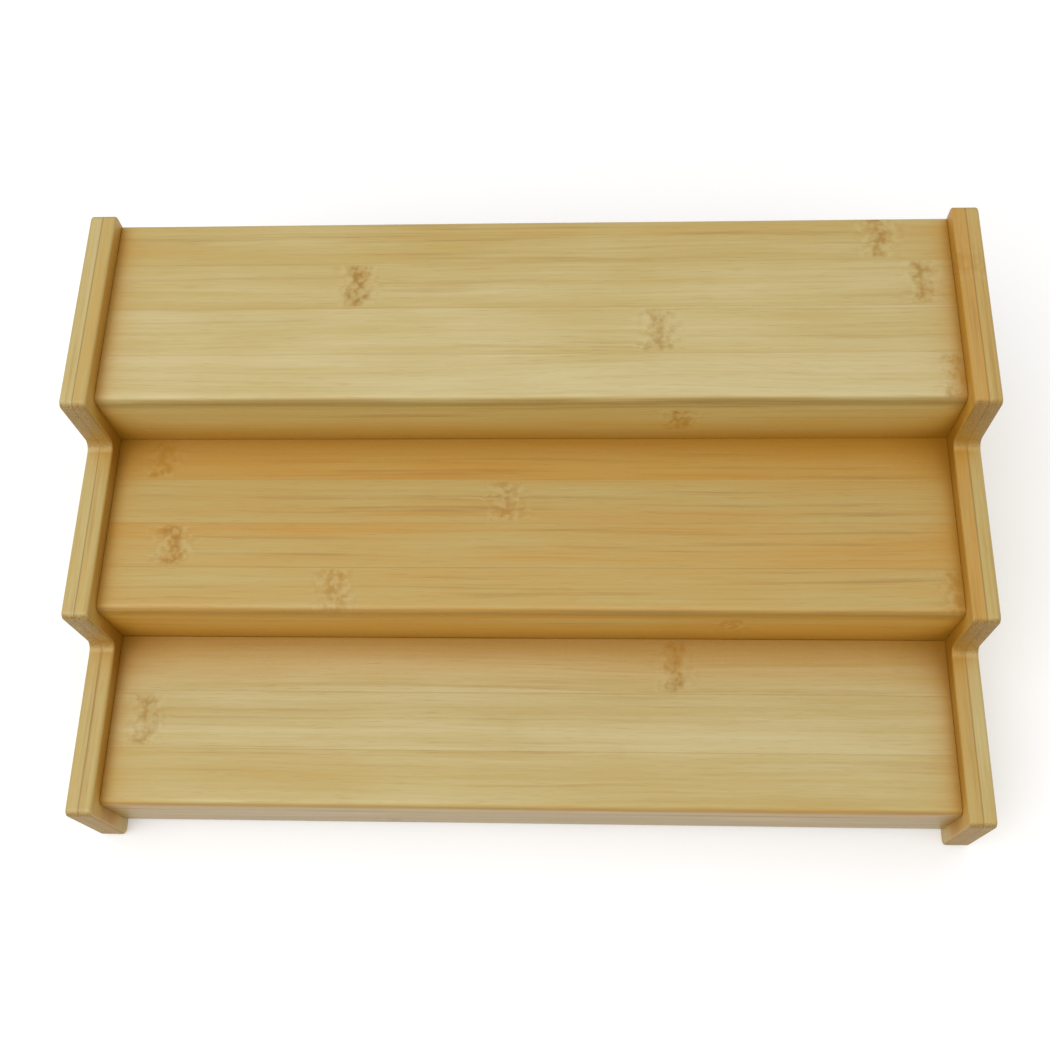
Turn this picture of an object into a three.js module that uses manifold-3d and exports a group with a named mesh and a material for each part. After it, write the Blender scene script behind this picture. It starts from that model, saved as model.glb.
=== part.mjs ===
// Three-step bamboo shelf riser, in millimetres.
//
// Two stepped side panels hold three treads and three risers, and hidden dowels join the
// board ends to the panels. +X is to the right, +Y to the back and +Z up. The origin is on
// the floor, at the middle of the width and of the depth.

import * as THREE from 'three';
import { mergeVertices } from 'three/addons/utils/BufferGeometryUtils.js';
import Module from 'manifold-3d';

// Driving dimensions
const WIDTH = 390; // over the outer faces of the two side panels
const PANEL_THICKNESS = 11.5;
const BOARD_THICKNESS = 10; // treads and risers
const FRONT_TREAD_HEIGHT = 40; // floor to the top face of the front tread
const STEP_RISE = 36.5; // from one tread's top face to the next
const RAIL_HEIGHT = 8; // panel edge above the treads
const PANEL_LEAD = 6.5; // panel edge in front of the riser faces
const FLOOR_CLEARANCE = 5.5; // under the front riser
const GLUE_GAP = 0.3; // left between pieces that are glued together

// The steps, from the lowest to the highest, with the depth that a jar can stand on
const STEPS = [
  { name: 'front', depth: 76 },
  { name: 'middle', depth: 81 },
  { name: 'top', depth: 90 },
];

const OUTER_CORNER_RADIUS = 3; // the panel's convex corners
const INNER_CORNER_RADIUS = 4; // the panel's concave corners
const EASED_EDGE_RADIUS = 1.5; // long edges of the boards
const ARC_SEGMENTS = 5;

const DOWEL_DIAMETER = 6;
const DOWEL_SEGMENTS = 24;
const DEPTH_IN_PANEL = 7.5;
const DEPTH_IN_BOARD = 16;
const DOWEL_PLACES_IN_TREAD = [0.22, 0.78]; // shares of the tread's depth

// Places worked out from the driving dimensions
const stepsDepth = STEPS.reduce((sum, step) => sum + step.depth, 0);
const PANEL_FRONT = -(stepsDepth + PANEL_LEAD) / 2;
const PANEL_BACK = -PANEL_FRONT;
const PANEL_INNER_X = WIDTH / 2 - PANEL_THICKNESS;
const BOARD_END_X = PANEL_INNER_X - GLUE_GAP;

STEPS.forEach((step, index) => {
  const below = STEPS[index - 1];
  step.front = below ? below.front + below.depth : PANEL_FRONT + PANEL_LEAD;
  step.top = FRONT_TREAD_HEIGHT + index * STEP_RISE;
});

function isTopStep(index) {
  return index === STEPS.length - 1;
}

// ---- Booleans ----

const wasm = await Module();
wasm.setup();

function toManifold(geometry) {
  const bare = new THREE.BufferGeometry();
  bare.setAttribute('position', geometry.getAttribute('position'));
  bare.setIndex(geometry.getIndex());
  const welded = mergeVertices(bare);
  return new wasm.Manifold(new wasm.Mesh({
    numProp: 3,
    vertProperties: new Float32Array(welded.getAttribute('position').array),
    triVerts: new Uint32Array(welded.getIndex().array),
  }));
}

function toGeometry(manifold) {
  const mesh = manifold.getMesh();
  const geometry = new THREE.BufferGeometry();
  geometry.setAttribute('position', new THREE.BufferAttribute(mesh.vertProperties, 3));
  geometry.setIndex(new THREE.BufferAttribute(mesh.triVerts, 1));
  geometry.computeVertexNormals();
  return geometry;
}

function drilled(geometry, holes) {
  let solid = toManifold(geometry);
  for (const hole of holes) {
    solid = solid.subtract(toManifold(hole));
  }
  return toGeometry(solid);
}

// ---- Shapes ----

// Every outline is drawn in the YZ plane, as Vector2(y, z), and extruded along +X.
const OUTLINE_TO_SIDE = new THREE.Matrix4().makeBasis(
  new THREE.Vector3(0, 1, 0),
  new THREE.Vector3(0, 0, 1),
  new THREE.Vector3(1, 0, 0),
);

function corner(y, z, radius) {
  return { point: new THREE.Vector2(y, z), radius };
}

// The quarter arc that rounds one square corner of an outline
function cornerArc({ point, radius }, before, after) {
  const toBefore = before.point.clone().sub(point).normalize();
  const toAfter = after.point.clone().sub(point).normalize();
  const centre = point.clone().addScaledVector(toBefore, radius).addScaledVector(toAfter, radius);
  return Array.from({ length: ARC_SEGMENTS + 1 }, (_, i) => {
    const angle = (i / ARC_SEGMENTS) * (Math.PI / 2);
    return centre.clone()
      .addScaledVector(toAfter, -radius * Math.cos(angle))
      .addScaledVector(toBefore, -radius * Math.sin(angle));
  });
}

function extrudedAlongX(corners, fromX, toX) {
  const points = corners.flatMap((item, i) => {
    const before = corners.at(i - 1);
    const after = corners[(i + 1) % corners.length];
    return item.radius > 0 ? cornerArc(item, before, after) : [item.point];
  });
  const geometry = new THREE.ExtrudeGeometry(new THREE.Shape(points), {
    depth: toX - fromX,
    bevelEnabled: false,
  });
  return geometry.applyMatrix4(OUTLINE_TO_SIDE).translate(fromX, 0, 0);
}

function rodAlongX(diameter, fromX, toX, y, z) {
  const rod = new THREE.CylinderGeometry(diameter / 2, diameter / 2, toX - fromX, DOWEL_SEGMENTS);
  return rod.rotateZ(Math.PI / 2).translate((fromX + toX) / 2, y, z);
}

// ---- The boards ----

// A tread runs back to the riser behind it; behind the top tread there is none.
function treadBox(index) {
  const { front, depth, top } = STEPS[index];
  const back = isTopStep(index) ? front + depth : front + depth - GLUE_GAP;
  return { front, back, bottom: top - BOARD_THICKNESS, top };
}

// A riser holds up its tread's front edge, and its foot covers the back edge of the tread
// below. The front riser stops short of the floor.
function riserBox(index) {
  const { front, top } = STEPS[index];
  const foot = index > 0 ? STEPS[index - 1].top - BOARD_THICKNESS : FLOOR_CLEARANCE;
  return {
    front,
    back: front + BOARD_THICKNESS,
    bottom: foot,
    top: top - BOARD_THICKNESS - GLUE_GAP,
  };
}

function boardGeometry({ front, back, bottom, top }, frontRadius, backRadius) {
  return extrudedAlongX([
    corner(front, bottom, frontRadius),
    corner(back, bottom, backRadius),
    corner(back, top, backRadius),
    corner(front, top, frontRadius),
  ], -BOARD_END_X, BOARD_END_X);
}

function treadGeometry(index) {
  const backRadius = isTopStep(index) ? EASED_EDGE_RADIUS : 0;
  const solid = boardGeometry(treadBox(index), EASED_EDGE_RADIUS, backRadius);
  return drilled(solid, boardEndHoles(treadDowelPlaces(index)));
}

function riserGeometry(index) {
  return drilled(boardGeometry(riserBox(index), 0, 0), boardEndHoles(riserDowelPlaces(index)));
}

// ---- The dowels ----

// Where the dowels of one board sit, seen from the side
function treadDowelPlaces(index) {
  const { front, back, bottom, top } = treadBox(index);
  return DOWEL_PLACES_IN_TREAD.map((share) => ({
    y: THREE.MathUtils.lerp(front, back, share),
    z: (bottom + top) / 2,
  }));
}

function riserDowelPlaces(index) {
  const { front, back, bottom, top } = riserBox(index);
  return [{ y: (front + back) / 2, z: (bottom + top) / 2 }];
}

// The rod that a dowel fills at one end of a board, or its hole when clearance is given
function dowelRod(side, { y, z }, clearance = 0) {
  const inBoard = BOARD_END_X - DEPTH_IN_BOARD - clearance;
  const inPanel = PANEL_INNER_X + DEPTH_IN_PANEL + clearance;
  const [fromX, toX] = side > 0 ? [inBoard, inPanel] : [-inPanel, -inBoard];
  return rodAlongX(DOWEL_DIAMETER + 2 * clearance, fromX, toX, y, z);
}

function boardEndHoles(places) {
  return places.flatMap((place) => [-1, 1].map((side) => dowelRod(side, place, GLUE_GAP)));
}

// ---- The side panels ----

// A staircase outline: up the front of each step, back along its rail, then down the back
function panelOutline() {
  const corners = [
    corner(PANEL_BACK, 0, OUTER_CORNER_RADIUS),
    corner(PANEL_BACK, STEPS.at(-1).top + RAIL_HEIGHT, OUTER_CORNER_RADIUS),
  ];
  for (const step of [...STEPS].reverse()) {
    const isLowest = step === STEPS[0];
    const face = step.front - PANEL_LEAD;
    const foot = isLowest ? 0 : step.top - STEP_RISE + RAIL_HEIGHT;
    corners.push(corner(face, step.top + RAIL_HEIGHT, OUTER_CORNER_RADIUS));
    corners.push(corner(face, foot, isLowest ? OUTER_CORNER_RADIUS : INNER_CORNER_RADIUS));
  }
  return corners;
}

function sidePanelGeometry(side) {
  const [fromX, toX] = side > 0 ? [PANEL_INNER_X, WIDTH / 2] : [-WIDTH / 2, -PANEL_INNER_X];
  const places = STEPS.flatMap((_, i) => [...treadDowelPlaces(i), ...riserDowelPlaces(i)]);
  const holes = places.map((place) => dowelRod(side, place, GLUE_GAP));
  return drilled(extrudedAlongX(panelOutline(), fromX, toX), holes);
}

// ---- The assembly ----

const FINISHES = {
  panel: { color: 0xcfb87a, roughness: 0.5, metalness: 0 },
  tread: { color: 0xd8c28c, roughness: 0.45, metalness: 0 },
  riser: { color: 0xc49a52, roughness: 0.5, metalness: 0 },
  dowel: { color: 0xdcc596, roughness: 0.7, metalness: 0 },
};

const riser = new THREE.Group();

function addPiece(name, geometry, finish) {
  const mesh = new THREE.Mesh(geometry, new THREE.MeshStandardMaterial(FINISHES[finish]));
  mesh.name = name;
  riser.add(mesh);
}

const SIDES = [['left', -1], ['right', 1]];

function addDowels(prefix, places) {
  for (const [sideName, side] of SIDES) {
    places.forEach((place, i) => {
      const number = places.length > 1 ? `_${i + 1}` : '';
      addPiece(`${prefix}_${sideName}${number}`, dowelRod(side, place), 'dowel');
    });
  }
}

for (const [sideName, side] of SIDES) {
  addPiece(`side_panel_${sideName}`, sidePanelGeometry(side), 'panel');
}

STEPS.forEach((step, i) => {
  addPiece(`tread_${step.name}`, treadGeometry(i), 'tread');
  addPiece(`riser_${step.name}`, riserGeometry(i), 'riser');
  addDowels(`dowel_tread_${step.name}`, treadDowelPlaces(i));
  addDowels(`dowel_riser_${step.name}`, riserDowelPlaces(i));
});

export default riser;
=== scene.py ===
"""A three-step bamboo shelf riser, dressed for the camera. Metres, in the CAD model's frame.

The stepped side panels, the treads and the risers are rebuilt here as finely eased boards of
bamboo strips. The hidden dowels stay as the CAD made them and only get a better material.
"""

import math

import bmesh
import bpy
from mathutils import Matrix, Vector, noise


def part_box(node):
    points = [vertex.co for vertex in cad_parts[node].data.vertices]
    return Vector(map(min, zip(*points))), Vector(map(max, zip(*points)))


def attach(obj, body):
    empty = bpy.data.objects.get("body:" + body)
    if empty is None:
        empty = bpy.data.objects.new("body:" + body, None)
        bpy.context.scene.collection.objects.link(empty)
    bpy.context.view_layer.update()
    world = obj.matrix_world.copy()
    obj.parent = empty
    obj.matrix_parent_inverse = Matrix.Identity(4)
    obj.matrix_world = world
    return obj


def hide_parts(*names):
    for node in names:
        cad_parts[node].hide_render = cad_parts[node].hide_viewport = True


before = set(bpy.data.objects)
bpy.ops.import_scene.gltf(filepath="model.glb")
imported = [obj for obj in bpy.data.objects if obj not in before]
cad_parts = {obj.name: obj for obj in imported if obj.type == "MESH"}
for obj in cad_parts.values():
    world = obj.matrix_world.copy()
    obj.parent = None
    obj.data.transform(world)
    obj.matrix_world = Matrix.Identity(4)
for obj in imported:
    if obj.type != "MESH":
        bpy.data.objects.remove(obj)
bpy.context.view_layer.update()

MM = 0.001
STEPS = ("front", "middle", "top")
SIDES = ("left", "right")

# How the boards are finished
PANEL_CORNER = 3.0 * MM  # convex corners of the panel's outline
PANEL_HOLLOW = 4.0 * MM  # concave corners of the panel's outline
PANEL_EASE = 1.1 * MM  # sanded edges round the panel's faces
TREAD_NOSING = 3.0 * MM  # the rounded edge along the front of a tread
SHARP_EDGE = 0.25 * MM
END_EASE = 0.2 * MM
GLUE_GROOVE_DEPTH = 0.05 * MM
GLUE_GROOVE_WIDTH = 0.5 * MM
GUARD = 0.5 * MM  # flat margin beside an arc, which keeps the shading of the face flat
ARC_STEPS = 6
WAVE_SPACING = 12 * MM  # how far apart the points on a board's flat runs are
WAVE_HEIGHT = 0.1 * MM
WAVE_LENGTH = 70 * MM
WAVE_SEED = 5
TREAD_WAVE = 0  # each board takes its own stretch of the wave, and they are numbered on from here
RISER_WAVE = 7
SMOOTH_ANGLE = math.radians(35)
HOLE_CLEARANCE = 0.3 * MM
HOLE_SIDES = 32

# The boards' strips, counted from a tread's front and from the bottom of a riser or a panel.
# Each has a tone, from 0 for pale straw towards 1 for honey.
TREAD_STRIPS = {"front": 3, "middle": 4, "top": 4}
TREAD_TONES = {
    "front": (0.0, -0.1, -0.25),
    "middle": (0.33, 0.4, 0.33, 0.42),
    # The top tread runs from pale at the front to warm at the back: partly its strips' tones, partly a
    # painted sheen on its front and painted shade towards its back
    "top": (-0.35, -0.1, 0.0, 0.15),
}
RISER_STRIPS = 2
RISER_TONES = {"front": (0.3, 0.3), "middle": (0.6, 0.6), "top": (0.15, 0.15)}
PANEL_STRIPS = 6
PANEL_TONES = {"left": (0.1, 0.1, 0.0, -0.15, 0.0, 0.0), "right": (0.1, 0.2, 0.1, 0.2, 0.2, 0.3)}
STRIP_OVERHANG = 1.0  # in mm

# Node marks as (strip, place along the grain in mm, depth of brown)
TREAD_MARKS = {
    "front": [(1, -168, 0.6), (2, 65, 0.9)],
    "middle": [(3, -163, 0.7), (1, -154, 0.9), (2, -8, 0.3), (0, -82, 0.5), (0, 181, 0.6)],
    "top": [(2, -74, 1.0), (1, 57, 0.5), (3, 153, 0.7), (2, 170, 0.7), (0, 181, 0.7)],
}
RISER_MARKS = {"front": [(0, -60, 0.7)], "middle": [(1, 88, 0.5)], "top": [(1, 66, 0.9)]}
PANEL_MARKS = {
    "left": [(0, -70, 0.7), (1, 48, 0.8), (2, -8, 0.6), (4, 84, 0.7)],
    "right": [(0, 35, 0.7), (1, -66, 0.7), (3, 61, 0.8), (5, 98, 0.5)],
}

# How strongly painted shade darkens the front of each step
FRONT_PAINTED_SHADE = {"front": 1.3, "middle": 0.0, "top": 0.0}


# ---- Outlines and lofts ----

def left_of(direction):
    return Vector((-direction.y, direction.x))


def corner_points(before, corner, after, radius, inset):
    """The arc round one square corner of a counter-clockwise outline that is drawn in by inset."""
    arriving = (corner - before).normalized()
    leaving = (after - corner).normalized()
    turn = arriving.cross(leaving)  # 1 where the outline is convex, -1 where it is concave
    reach = radius - inset * turn
    moved = corner + (left_of(arriving) + left_of(leaving)) * inset
    centre = moved + (leaving - arriving) * reach
    points = [moved - arriving * (reach + GUARD)]
    for i in range(ARC_STEPS + 1):
        angle = i / ARC_STEPS * math.pi / 2
        points.append(centre - leaving * reach * math.cos(angle) + arriving * reach * math.sin(angle))
    points.append(moved + leaving * (reach + GUARD))
    return points


def filled_run(start, end):
    """Points between start and end, so that a long flat run can carry the board's slight wave."""
    count = int((end - start).length / WAVE_SPACING)
    return [start.lerp(end, i / (count + 1)) for i in range(1, count + 1)]


def outline(corners, inset=0.0):
    """The rounded outline through (y, z, radius) corners, counter-clockwise."""
    places = [Vector(corner[:2]) for corner in corners]
    count = len(places)
    arcs = [
        corner_points(places[i - 1], places[i], places[(i + 1) % count], corners[i][2], inset)
        for i in range(count)
    ]
    points = []
    for arc, following in zip(arcs, arcs[1:] + arcs[:1]):
        points += arc
        points += filled_run(arc[-1], following[0])
    return points


def loft(name, sections, corners):
    """A closed board whose outline is drawn at each (x, inset) section."""
    rings = [[(x, p.x, p.y) for p in outline(corners, inset)] for x, inset in sections]
    size = len(rings[0])
    faces = []
    for low in range(0, size * (len(rings) - 1), size):
        for j in range(size):
            k = (j + 1) % size
            faces.append((low + j, low + k, low + size + k, low + size + j))
    last = size * (len(rings) - 1)
    faces.append(tuple(range(size)))
    faces.append(tuple(range(last, last + size)))
    mesh = bpy.data.meshes.new(name)
    mesh.from_pydata([point for ring in rings for point in ring], [], faces)
    shell = bmesh.new()
    shell.from_mesh(mesh)
    bmesh.ops.recalc_face_normals(shell, faces=shell.faces)
    shell.to_mesh(mesh)
    shell.free()
    piece = bpy.data.objects.new(name, mesh)
    bpy.context.scene.collection.objects.link(piece)
    return piece


# ---- Joinery ----

def hole_cutter(nodes):
    """Rods a little fatter and longer than the dowels, to cut their holes."""
    rods = bmesh.new()
    for node in nodes:
        low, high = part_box(node)
        middle = (low + high) / 2
        length = high.x - low.x + 2 * HOLE_CLEARANCE
        radius = (high.z - low.z) / 2 + HOLE_CLEARANCE
        made = bmesh.ops.create_cone(
            rods, cap_ends=True, segments=HOLE_SIDES, radius1=radius, radius2=radius, depth=length)
        for vertex in made["verts"]:
            x, y, z = vertex.co
            vertex.co = middle + Vector((z, x, y))
    mesh = bpy.data.meshes.new("holes")
    rods.to_mesh(mesh)
    rods.free()
    cutter = bpy.data.objects.new("holes", mesh)
    bpy.context.scene.collection.objects.link(cutter)
    return cutter


def drill(piece, nodes):
    """Cuts the holes that these dowels sit in."""
    cutter = hole_cutter(nodes)
    cut = piece.modifiers.new("holes", "BOOLEAN")
    cut.operation = "DIFFERENCE"
    cut.solver = "EXACT"
    cut.object = cutter
    bpy.context.view_layer.update()
    evaluated = piece.evaluated_get(bpy.context.evaluated_depsgraph_get())
    drilled = bpy.data.meshes.new_from_object(evaluated)
    piece.modifiers.clear()
    piece.data = drilled
    bpy.data.objects.remove(cutter)


def smooth(piece):
    piece.data.shade_smooth()
    piece.data.set_sharp_from_angle(angle=SMOOTH_ANGLE)


def dowels(*words):
    """The dowel nodes whose names hold all these words."""
    return [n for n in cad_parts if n.startswith("dowel_") and all(word in n for word in words)]


# ---- Boards ----

def board_corners(low, high, front_radius, back_radius):
    """A board's corners, counter-clockwise. Only the upper two can be seen, and may be rounded."""
    return [
        (low.y, low.z, SHARP_EDGE),
        (high.y, low.z, SHARP_EDGE),
        (high.y, high.z, back_radius),
        (low.y, high.z, front_radius),
    ]


def board_sections(low, high):
    """Sections along a board's length, its ends eased a little."""
    middle = [low.x + END_EASE, high.x - END_EASE]
    count = int((middle[1] - middle[0]) / WAVE_SPACING)
    run = [(middle[0] + (middle[1] - middle[0]) * i / count, 0.0) for i in range(count + 1)]
    return [(low.x, END_EASE)] + run + [(high.x, END_EASE)]


def add_wave(piece, wave):
    """Moves a board's points by a hair, as planing and sanding leave them."""
    noise.seed_set(WAVE_SEED)
    for vertex in piece.data.vertices:
        shift = noise.noise_vector(vertex.co / WAVE_LENGTH + Vector((wave, 0, 0)))
        vertex.co += Vector((0, shift.y, shift.z)) * WAVE_HEIGHT


def fitted(node):
    """A board's box, taken up to its neighbours so that no gap is left along the glued joints."""
    low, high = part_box(node)
    low.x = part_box("side_panel_left")[1].x
    high.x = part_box("side_panel_right")[0].x
    kind, step = node.split("_")
    if kind == "riser":
        high.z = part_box(f"tread_{step}")[0].z
    elif step != "top":
        behind = STEPS[STEPS.index(step) + 1]
        high.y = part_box(f"riser_{behind}")[0].y
    return low, high


def make_board(name, node, front_radius, back_radius, holes, wave):
    low, high = fitted(node)
    corners = board_corners(low, high, front_radius, back_radius)
    board = loft(name, board_sections(low, high), corners)
    add_wave(board, wave)
    drill(board, holes)
    smooth(board)
    return board


# ---- Side panels ----

def panel_corners():
    """The staircase outline, counter-clockwise from the front foot, taken from the CAD's boards."""
    low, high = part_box("side_panel_left")
    tops = [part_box(f"tread_{step}")[1].z for step in STEPS]
    fronts = [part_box(f"riser_{step}")[0].y for step in STEPS]
    rail = high.z - tops[-1]
    lead = fronts[0] - low.y
    corners = [(high.y, low.z, PANEL_CORNER), (high.y, high.z, PANEL_CORNER)]
    for i in reversed(range(len(STEPS))):
        foot = tops[i - 1] + rail if i > 0 else low.z
        corners.append((fronts[i] - lead, tops[i] + rail, PANEL_CORNER))
        corners.append((fronts[i] - lead, foot, PANEL_HOLLOW if i > 0 else PANEL_CORNER))
    return corners


def panel_sections(low, high):
    """Sections through the panel's thickness: eased faces, with a fine groove at the glue line."""
    arc = []
    for i in range(ARC_STEPS + 1):
        angle = i / ARC_STEPS * math.pi / 2
        arc.append((PANEL_EASE * (1 - math.cos(angle)), PANEL_EASE * (1 - math.sin(angle))))
    middle = (low.x + high.x) / 2
    half_groove = GLUE_GROOVE_WIDTH / 2
    sections = [(low.x, PANEL_EASE + GUARD)]
    sections += [(low.x + x, inset) for x, inset in arc]
    sections += [(middle - half_groove, 0.0), (middle, GLUE_GROOVE_DEPTH), (middle + half_groove, 0.0)]
    sections += [(high.x - x, inset) for x, inset in reversed(arc)]
    sections.append((high.x, PANEL_EASE + GUARD))
    return sections


def make_panel(side):
    low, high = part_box(f"side_panel_{side}")
    panel = loft(f"panel_{side}", panel_sections(low, high), panel_corners())
    drill(panel, dowels(side))
    smooth(panel)
    return panel


# ---- Materials ----

class Tree:
    """A material's node tree, built by short calls that return output sockets."""

    def __init__(self, name):
        self.material = bpy.data.materials.new(name)
        self.material.use_nodes = True
        self.nodes = self.material.node_tree.nodes
        self.links = self.material.node_tree.links
        self.shader = self.nodes["Principled BSDF"]

    def put(self, value, socket):
        if isinstance(value, bpy.types.NodeSocket):
            self.links.new(value, socket)
        else:
            socket.default_value = value

    def math(self, operation, *values):
        node = self.nodes.new("ShaderNodeMath")
        node.operation = operation
        for value, socket in zip(values, node.inputs):
            self.put(value, socket)
        return node.outputs[0]

    def add(self, *values):
        total = values[0]
        for value in values[1:]:
            total = self.math("ADD", total, value)
        return total

    def times(self, *values):
        product = values[0]
        for value in values[1:]:
            product = self.math("MULTIPLY", product, value)
        return product

    def minus(self, a, b):
        return self.math("SUBTRACT", a, b)

    def ramp(self, value, start, end, low=0.0, high=1.0):
        """Goes smoothly from low to high as value goes from start to end."""
        node = self.nodes.new("ShaderNodeMapRange")
        node.interpolation_type = "SMOOTHSTEP"
        for item, socket in zip((value, start, end, low, high), node.inputs):
            self.put(item, socket)
        return node.outputs[0]

    def vector(self, x, y, z):
        node = self.nodes.new("ShaderNodeCombineXYZ")
        for value, socket in zip((x, y, z), node.inputs):
            self.put(value, socket)
        return node.outputs[0]

    def split(self, vector):
        node = self.nodes.new("ShaderNodeSeparateXYZ")
        self.put(vector, node.inputs[0])
        return list(node.outputs)

    def noise(self, vector, detail=2.0, roughness=0.5):
        node = self.nodes.new("ShaderNodeTexNoise")
        self.put(vector, node.inputs["Vector"])
        self.put(1.0, node.inputs["Scale"])
        self.put(detail, node.inputs["Detail"])
        self.put(roughness, node.inputs["Roughness"])
        return node.outputs[0]

    def random(self, vector):
        """Three random numbers from 0 to 1 that stay the same wherever vector does."""
        node = self.nodes.new("ShaderNodeTexWhiteNoise")
        node.noise_dimensions = "3D"
        self.put(vector, node.inputs["Vector"])
        return self.split(node.outputs["Color"])

    def mix(self, factor, a, b):
        node = self.nodes.new("ShaderNodeMix")
        node.data_type = "RGBA"
        self.put(factor, node.inputs[0])
        self.put(a, node.inputs[6])
        self.put(b, node.inputs[7])
        return node.outputs[2]

    def enclosure(self, distance, inside=False):
        """0 in the open and more in a corner, or with inside, more along an outer edge."""
        node = self.nodes.new("ShaderNodeAmbientOcclusion")
        node.samples = OCCLUSION_SAMPLES
        node.inside = inside
        node.only_local = inside
        node.inputs["Distance"].default_value = distance
        return self.minus(1.0, node.outputs["AO"])

    def bump(self, height, distance):
        node = self.nodes.new("ShaderNodeBump")
        node.inputs["Strength"].default_value = 1.0
        node.inputs["Distance"].default_value = distance
        self.put(height, node.inputs["Height"])
        return node.outputs[0]


def linear(red, green, blue):
    """A display colour from 0 to 255 as the linear colour that a shader takes."""
    def channel(value):
        value /= 255
        return value / 12.92 if value <= 0.04045 else ((value + 0.055) / 1.055) ** 2.4
    return (channel(red), channel(green), channel(blue), 1.0)


PALE_STRAW = linear(196, 181, 132)
STRAW = linear(181, 157, 92)
HONEY = linear(184, 136, 52)
# Painted shade: the amber colours mixed into the corners between boards
CORNER_SHADE_AMBER = linear(208, 148, 20)
DEEP_CORNER_SHADE = linear(132, 86, 0)
NODE_BROWN = linear(142, 98, 12)
FIBRE_BROWN = linear(150, 110, 46)
# Painted shade under the treads' nosings and on the front step, and the panels' darker edges
SHADE_AND_EDGE_BROWN = linear(126, 100, 40)
GLUE = linear(108, 76, 26)
# Darker end grain, partly painted shade on the panels' end faces
END_GRAIN_AND_SHADE = linear(118, 84, 20)

CORNER_REACH = 30 * MM  # how far the painted corner shade spreads from a corner
EDGE_REACH = 1.6 * MM  # how far a panel's edges are darkened
NOSING_SHADE_START = (0.0, 1.3)  # in mm below a tread's top: where the painted shade under its nosing comes in
NOSING_SHADE_FADE = (9.5, 3.0)  # and where it has faded, and is still full
OCCLUSION_SAMPLES = 6

# Patterns of the grain, each with its length along the grain and its thickness across it in mm,
# and the detail and roughness of its noise
PATCHES = (70.0, 16.0, 1.0, 0.5)
BANDS = (240.0, 8.0, 2.0, 0.5)
STREAKS = (80.0, 1.3, 3.0, 0.6)
FIBRES = (18.0, 0.4, 2.0, 0.6)
VEINS = (120.0, 2.6, 3.0, 0.6)
FLECKS = (12.0, 0.45, 1.0, 0.5)
PORES = (14.0, 0.5, 1.0, 0.5)

# How the fibres run, in mm
DRIFT_LENGTH = 130.0
DRIFT_WIDTH = 5.0
SWIRL_WIDTH = 5.0
STRIP_SHIFT = 60.0  # how far apart in the wood neighbouring strips may have been cut
DRIFT_SHIFT = 40.0

# What adds to the wood's warmth, which is 0 for pale straw and 1 for honey
COMMON_WARMTH = 0.42
STRIP_VARIETY = 0.16
PATCH_VARIETY = 0.5
BAND_VARIETY = 0.7
STREAK_VARIETY = 0.5
FIBRE_VARIETY = 0.4
MARK_WARMTH = 0.25
INNER_PLY_WARMTH = 0.25
# Painted shade: a tread's front face made warmer and darker, as its nosing turns away from the light
# above
TREAD_FRONT_SHADE = 0.5

# Which bamboo each kind of board is cut from, numbered on from board to board
TREAD_WOOD = 3.0
RISER_WOOD = 11.0
PANEL_WOOD = 17.0
DOWEL_WOOD = 23.0

# Node marks. Their spots and swirls are this many to a millimetre along, across and through.
MARK_SPOTS = (0.34, 0.3, 0.3)
MARK_SWIRLS = (0.15, 0.15, 0.15)
MARK_RAGGEDNESS = 10.0
MARK_BOW = 2.5  # in mm, between the middle of a strip and its edges
MARK_CORE = (6.0, 1.0)  # in mm from the middle of the mark: where its core starts and is full
MARK_HALO = (13.0, 4.0)

BUMP_HEIGHT = 0.06 * MM


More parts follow.
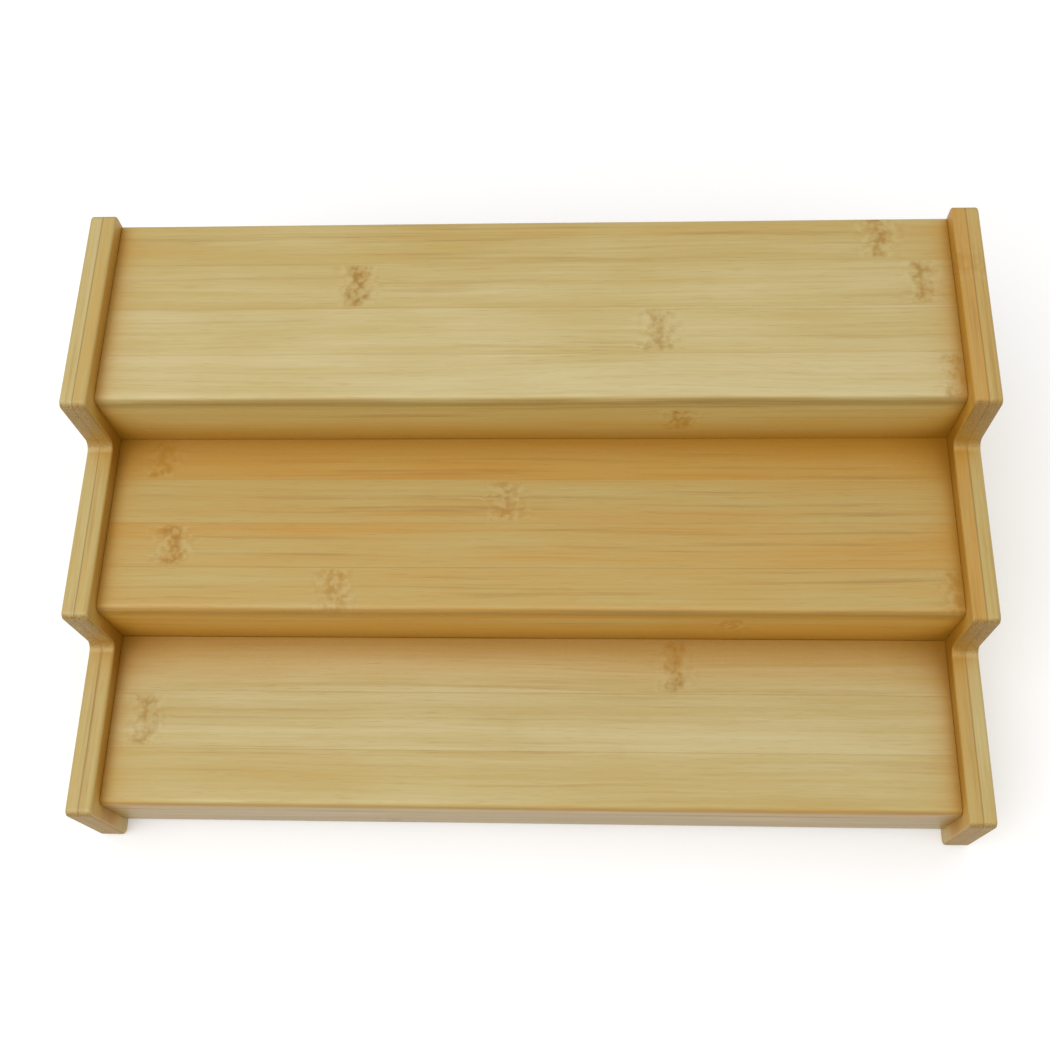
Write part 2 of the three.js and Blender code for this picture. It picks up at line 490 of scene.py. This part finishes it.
class Bamboo(Tree):
    """Bamboo strips glued edge to edge. axes names the coordinates along the grain, across the
    strips and through the board. start and width place the strips, in mm."""

    def __init__(self, name, axes, start, width, seed):
        super().__init__(name)
        self.start = start
        self.width = width
        self.seed = seed
        coordinates = self.nodes.new("ShaderNodeTexCoord")
        in_mm = self.nodes.new("ShaderNodeVectorMath")
        in_mm.operation = "SCALE"
        in_mm.inputs["Scale"].default_value = 1 / MM
        self.put(coordinates.outputs["Object"], in_mm.inputs[0])
        places = dict(zip("xyz", self.split(in_mm.outputs[0])))
        self.above_floor = places["z"]
        self.along, self.across, self.through = (places[axis] for axis in axes)
        self.normals = dict(zip("xyz", self.split(coordinates.outputs["Normal"])))
        self.on_end = self.facing(axes[0])
        self.on_face = self.facing(axes[2])
        self.on_front = self.ramp(self.normals["y"], -0.2, -0.9)

    def facing(self, axis):
        """1 where the surface looks along an axis, one way or the other."""
        return self.ramp(self.math("ABSOLUTE", self.normals[axis]), 0.2, 0.9)

    def strips(self, layer):
        """A strip's random numbers, the distance to its nearest seam in mm, and its number."""
        place = self.math("DIVIDE", self.minus(self.across, self.start), self.width)
        index = self.math("FLOOR", place)
        within = self.minus(place, index)
        seam = self.times(self.math("MINIMUM", within, self.minus(1.0, within)), self.width)
        return self.random(self.vector(index, layer, self.seed)), seam, index

    def spots(self, frequencies):
        """Soft round spots, with this many to a millimetre along, across and through the board."""
        directions = (self.along, self.across, self.through)
        point = [self.times(place, often) for place, often in zip(directions, frequencies)]
        return self.noise(self.vector(*point), 1.0)

    def node_marks(self, marks, ragged):
        """The bamboo's nodes, each a ragged, slightly bowed band across one strip. Returns how far
        a point is inside a band's core, weighted by its depth of brown, and inside its halo."""
        core, halo = 0.0, 0.0
        for strip, centre, depth in marks:
            strip_middle = self.start + self.width * (strip + 0.5)
            offset = self.math("DIVIDE", self.minus(self.across, strip_middle), self.width / 2)
            bow = self.times(self.minus(self.math("POWER", offset, 2.0), 0.33), MARK_BOW)
            reach = self.math("ABSOLUTE", self.add(self.minus(self.along, centre), bow, ragged))
            inside = self.ramp(self.math("ABSOLUTE", offset), 1.0, 0.75)
            core = self.add(core, self.times(self.ramp(reach, *MARK_CORE), inside, depth))
            halo = self.add(halo, self.times(self.ramp(reach, *MARK_HALO), inside))
        return core, halo

    def bend_fibres(self, shift, halo, swirl):
        """Lets the fibres wander on their way and swirl at a node. Each strip has its own."""
        stretch = self.times(self.along, 1 / DRIFT_LENGTH)
        drift = self.noise(self.vector(stretch, self.times(shift, DRIFT_SHIFT), self.seed), 1.0)
        self.bent = self.add(
            self.across, self.times(drift, DRIFT_WIDTH), self.times(shift, STRIP_SHIFT),
            self.times(halo, swirl, SWIRL_WIDTH))

    def grain(self, pattern):
        """Noise drawn out along the bent fibres."""
        length, thickness, detail, roughness = pattern
        point = self.vector(
            self.times(self.along, 1 / length), self.times(self.bent, 1 / thickness),
            self.times(self.through, 1 / thickness))
        return self.noise(point, detail, roughness)

    def varied(self, pattern, variety):
        """A pattern as a change of warmth, up and down from 0."""
        return self.times(self.minus(pattern, 0.5), variety)


def strip_warmth(wood, chance, index, tones):
    """Each strip's own tone, and a little chance on top."""
    warmth = wood.varied(chance, STRIP_VARIETY)
    for strip, tone in enumerate(tones):
        warmth = wood.add(warmth, wood.times(wood.math("COMPARE", index, strip, 0.5), tone))
    return warmth


def straw_and_honey(wood, warmth, flecks):
    """Pale straw to honey, with brown veins, stronger in warm wood, and flecks."""
    colour = wood.mix(wood.ramp(warmth, -0.15, 0.65), PALE_STRAW, STRAW)
    colour = wood.mix(wood.ramp(warmth, 0.45, 1.25), colour, HONEY)
    veins = wood.ramp(wood.grain(VEINS), 0.52, 0.74)
    veins = wood.times(veins, wood.ramp(warmth, 0.1, 0.9, 0.15, 0.5))
    return wood.mix(wood.add(veins, wood.times(flecks, 0.2)), colour, FIBRE_BROWN)


def marked(wood, colour, core, halo, mottle):
    """Node marks, brown in spots and pale between them. Returns the colour and the browning."""
    spots = wood.ramp(mottle, 0.45, 0.66)
    browning = wood.add(
        wood.times(core, wood.add(wood.times(spots, 0.25), 0.3)), wood.times(halo, spots, 0.16))
    colour = wood.mix(browning, colour, NODE_BROWN)
    pale = wood.times(halo, wood.ramp(mottle, 0.5, 0.36), 0.25)
    return wood.mix(pale, colour, PALE_STRAW), browning


def darker_ends_and_shade(wood, colour):
    """Sawn ends of the fibres take in more lacquer and are darker. On the panels' end faces the
    darkening is partly painted shade.
    """
    pores = wood.ramp(wood.grain(PORES), 0.42, 0.62, 0.5, 0.95)
    return wood.mix(wood.times(wood.on_end, pores), colour, END_GRAIN_AND_SHADE)


def amber_corner_shade(wood, colour):
    """Painted shade: amber and deep amber mixed in where ambient occlusion finds a corner between
    boards, but not at the floor.
    """
    clear_of_floor = wood.ramp(wood.above_floor, 0.0, CORNER_REACH / MM)
    enclosure = wood.times(wood.enclosure(CORNER_REACH), clear_of_floor)
    colour = wood.mix(wood.times(wood.ramp(enclosure, 0.04, 0.57), 0.85), colour, CORNER_SHADE_AMBER)
    return wood.mix(wood.times(wood.ramp(enclosure, 0.25, 0.5), 0.75), colour, DEEP_CORNER_SHADE)


def darkened_and_shaded(wood, browning, tread_top, ply_middle):
    """Where a board is darkened: along a panel's edges, with painted shade under a tread's front edge,
    and with as much painted shade as browning says on the rest of the front."""
    if ply_middle is not None:
        return wood.ramp(wood.enclosure(EDGE_REACH, inside=True), 0.08, 0.45)
    if tread_top is not None:
        below = wood.minus(tread_top, wood.through)
        # Painted shade under the nosing
        nosing_shade = wood.ramp(below, *NOSING_SHADE_FADE, browning, 1.0)
        return wood.times(wood.on_front, wood.ramp(below, *NOSING_SHADE_START), nosing_shade)
    return browning


def bamboo(
        name, axes, start, width, marks, seed, tones, browning=0.0, tread_top=None, ply_middle=None):
    """A board's lacquered bamboo. tones says how warm each strip is, and browning how much painted
    shade darkens the board's front. A tread gives the height of its top and a panel the place of
    its glue line, both in mm."""
    wood = Bamboo(name, axes, start, width, seed)
    layer = 0.0 if ply_middle is None else wood.math("GREATER_THAN", wood.through, ply_middle)
    (chance, shift, boldness), seam_distance, index = wood.strips(layer)
    mottle = wood.spots(MARK_SPOTS)
    swirl = wood.minus(wood.spots(MARK_SWIRLS), 0.5)
    core, halo = wood.node_marks(marks, wood.times(swirl, MARK_RAGGEDNESS))
    wood.bend_fibres(shift, halo, swirl)
    streaks = wood.grain(STREAKS)
    fibres = wood.grain(FIBRES)
    flecks = wood.ramp(wood.grain(FLECKS), 0.6, 0.72)

    warmth = wood.add(
        strip_warmth(wood, chance, index, tones),
        wood.varied(wood.grain(PATCHES), PATCH_VARIETY),
        wood.varied(wood.grain(BANDS), BAND_VARIETY),
        wood.varied(streaks, STREAK_VARIETY),
        wood.varied(fibres, FIBRE_VARIETY),
        wood.times(core, MARK_WARMTH),
        COMMON_WARMTH)
    if ply_middle is not None:
        inner = wood.math("LESS_THAN", wood.math("ABSOLUTE", wood.through), abs(ply_middle))
        warmth = wood.add(warmth, wood.times(inner, INNER_PLY_WARMTH))
    # Painted shade on a tread's front face
    if tread_top is not None:
        warmth = wood.add(warmth, wood.times(wood.on_front, TREAD_FRONT_SHADE))
    colour = straw_and_honey(wood, warmth, flecks)
    colour, marking = marked(wood, colour, core, halo, mottle)
    # Darker sawn ends, partly painted shade
    colour = darker_ends_and_shade(wood, colour)

    # Thin dark seams between the strips, stronger at some than at others, and a panel's glue line
    seam = wood.times(wood.ramp(seam_distance, 0.3, 0.05), wood.ramp(boldness, 0.2, 0.9, 0.1, 0.5))
    if ply_middle is not None:
        seam = wood.times(seam, wood.on_face)
        from_glue = wood.math("ABSOLUTE", wood.minus(wood.through, ply_middle))
        colour = wood.mix(wood.ramp(from_glue, 0.45, 0.15, 0.0, 0.45), colour, GLUE)
    colour = wood.mix(seam, colour, FIBRE_BROWN)

    # Painted shade in the corners between boards
    colour = amber_corner_shade(wood, colour)
    # Painted shade under the treads' nosings and on the front step, and darker panel edges
    edge = darkened_and_shaded(wood, browning, tread_top, ply_middle)
    colour = wood.mix(wood.times(edge, wood.ramp(streaks, 0.3, 0.6, 0.35, 0.6)), colour, SHADE_AND_EDGE_BROWN)
    wood.put(colour, wood.shader.inputs["Base Color"])

    # The satin lacquer is duller on marks and sawn ends, and smoother where edges and fronts are
    # darkened
    roughness = wood.add(
        0.38, wood.times(streaks, 0.14), wood.times(marking, 0.1), wood.times(wood.on_end, 0.15),
        wood.times(edge, -0.08))
    wood.put(roughness, wood.shader.inputs["Roughness"])
    raised = wood.add(wood.times(fibres, 0.5), wood.times(streaks, 0.5))
    sunken = wood.add(wood.times(flecks, 0.4), wood.times(seam, 0.8), wood.times(marking, 0.6))
    wood.put(wood.bump(wood.minus(raised, sunken), BUMP_HEIGHT), wood.shader.inputs["Normal"])
    return wood.material


def dress(piece, material, node):
    """Puts a rebuilt board in the place of its CAD node."""
    piece.data.materials.clear()
    piece.data.materials.append(material)
    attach(piece, "root")
    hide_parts(node)


def strip_run(low, high, count):
    """Where a board's strips start and how wide they are, in mm. The outer two stick out a
    little, so that the board's edges lie well inside them."""
    return low - STRIP_OVERHANG, (high - low + 2 * STRIP_OVERHANG) / count


def in_millimetres(node):
    low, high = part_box(node)
    return low / MM, high / MM


def build_treads():
    for number, step in enumerate(STEPS):
        node = f"tread_{step}"
        back_radius = TREAD_NOSING if step == "top" else SHARP_EDGE
        holes = dowels("_tread_", f"_{step}_")
        board = make_board(
            f"tread_board_{step}", node, TREAD_NOSING, back_radius, holes, TREAD_WAVE + number)
        low, high = in_millimetres(node)
        start, width = strip_run(low.y, high.y, TREAD_STRIPS[step])
        material = bamboo(
            f"bamboo_tread_{step}", "xyz", start, width, TREAD_MARKS[step], TREAD_WOOD + number,
            tones=TREAD_TONES[step], browning=FRONT_PAINTED_SHADE[step], tread_top=high.z)
        dress(board, material, node)


def build_risers():
    for number, step in enumerate(STEPS):
        node = f"riser_{step}"
        holes = dowels("_riser_", f"_{step}_")
        board = make_board(
            f"riser_board_{step}", node, SHARP_EDGE, SHARP_EDGE, holes, RISER_WAVE + number)
        low, high = in_millimetres(node)
        start, width = strip_run(low.z, high.z, RISER_STRIPS)
        material = bamboo(
            f"bamboo_riser_{step}", "xzy", start, width, RISER_MARKS[step], RISER_WOOD + number,
            tones=RISER_TONES[step], browning=FRONT_PAINTED_SHADE[step])
        dress(board, material, node)


def build_panels():
    for number, side in enumerate(SIDES):
        node = f"side_panel_{side}"
        panel = make_panel(side)
        low, high = in_millimetres(node)
        start, width = strip_run(low.z, high.z, PANEL_STRIPS)
        material = bamboo(
            f"bamboo_panel_{side}", "yzx", start, width, PANEL_MARKS[side], PANEL_WOOD + number,
            tones=PANEL_TONES[side], ply_middle=(low.x + high.x) / 2)
        dress(panel, material, node)


def dress_dowels():
    """The hidden dowels keep their CAD meshes, in a material of one plain strip."""
    low, high = in_millimetres("dowel_tread_front_left_1")
    material = bamboo("dowel_wood", "xyz", low.y, high.y - low.y, [], DOWEL_WOOD, tones=[])
    for node in dowels():
        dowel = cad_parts[node]
        dowel.data.materials.clear()
        dowel.data.materials.append(material)


# ---- Stage, light and camera ----

FLOOR_RADIUS = 6.0
FLOOR_SIDES = 96
FLOOR_WHITE = linear(232, 232, 232)
FLOOR_GLOW = 0.22
KEY_PLACE = Vector((-0.6, -0.55, 1.3))
KEY_SIZE = 1.3
KEY_WATTS = 8.7
SKY_STRENGTH = 0.86

SENSOR_WIDTH = 36.0
FOCAL_SHARE = 1.261  # focal length over the width of the frame
CAMERA_PLACE = Vector((0.0288, -0.2245, 0.6039))
CAMERA_TILT = (22.64, 2.66, 1.19)  # degrees about X, Y and Z


def build_floor():
    bpy.ops.mesh.primitive_circle_add(
        vertices=FLOOR_SIDES, radius=FLOOR_RADIUS, fill_type="NGON", location=(0, 0, 0))
    floor = bpy.context.object
    floor.name = "floor"
    tree = Tree("pale_floor")
    tree.shader.inputs["Base Color"].default_value = FLOOR_WHITE
    tree.shader.inputs["Roughness"].default_value = 0.9
    tree.shader.inputs["Specular IOR Level"].default_value = 0.1
    tree.shader.inputs["Emission Color"].default_value = (1, 1, 1, 1)
    tree.shader.inputs["Emission Strength"].default_value = FLOOR_GLOW
    floor.data.materials.append(tree.material)


def build_light():
    light = bpy.data.lights.new("key", "AREA")
    light.shape = "DISK"
    light.size = KEY_SIZE
    light.energy = KEY_WATTS
    key = bpy.data.objects.new("key", light)
    key.location = KEY_PLACE
    key.rotation_mode = "QUATERNION"
    key.rotation_quaternion = (-KEY_PLACE).to_track_quat("-Z", "Y")
    bpy.context.scene.collection.objects.link(key)
    world = bpy.data.worlds.new("studio")
    world.use_nodes = True
    sky = world.node_tree.nodes["Background"]
    sky.inputs["Color"].default_value = (1, 1, 1, 1)
    sky.inputs["Strength"].default_value = SKY_STRENGTH
    bpy.context.scene.world = world


def build_camera():
    lens = bpy.data.cameras.new("camera")
    lens.sensor_width = SENSOR_WIDTH
    lens.lens = FOCAL_SHARE * SENSOR_WIDTH
    camera = bpy.data.objects.new("camera", lens)
    camera.location = CAMERA_PLACE
    camera.rotation_euler = [math.radians(angle) for angle in CAMERA_TILT]
    bpy.context.scene.collection.objects.link(camera)
    bpy.context.scene.camera = camera


build_panels()
build_treads()
build_risers()
dress_dowels()
build_floor()
build_light()
build_camera()
bpy.context.scene.view_settings.view_transform = "Standard"
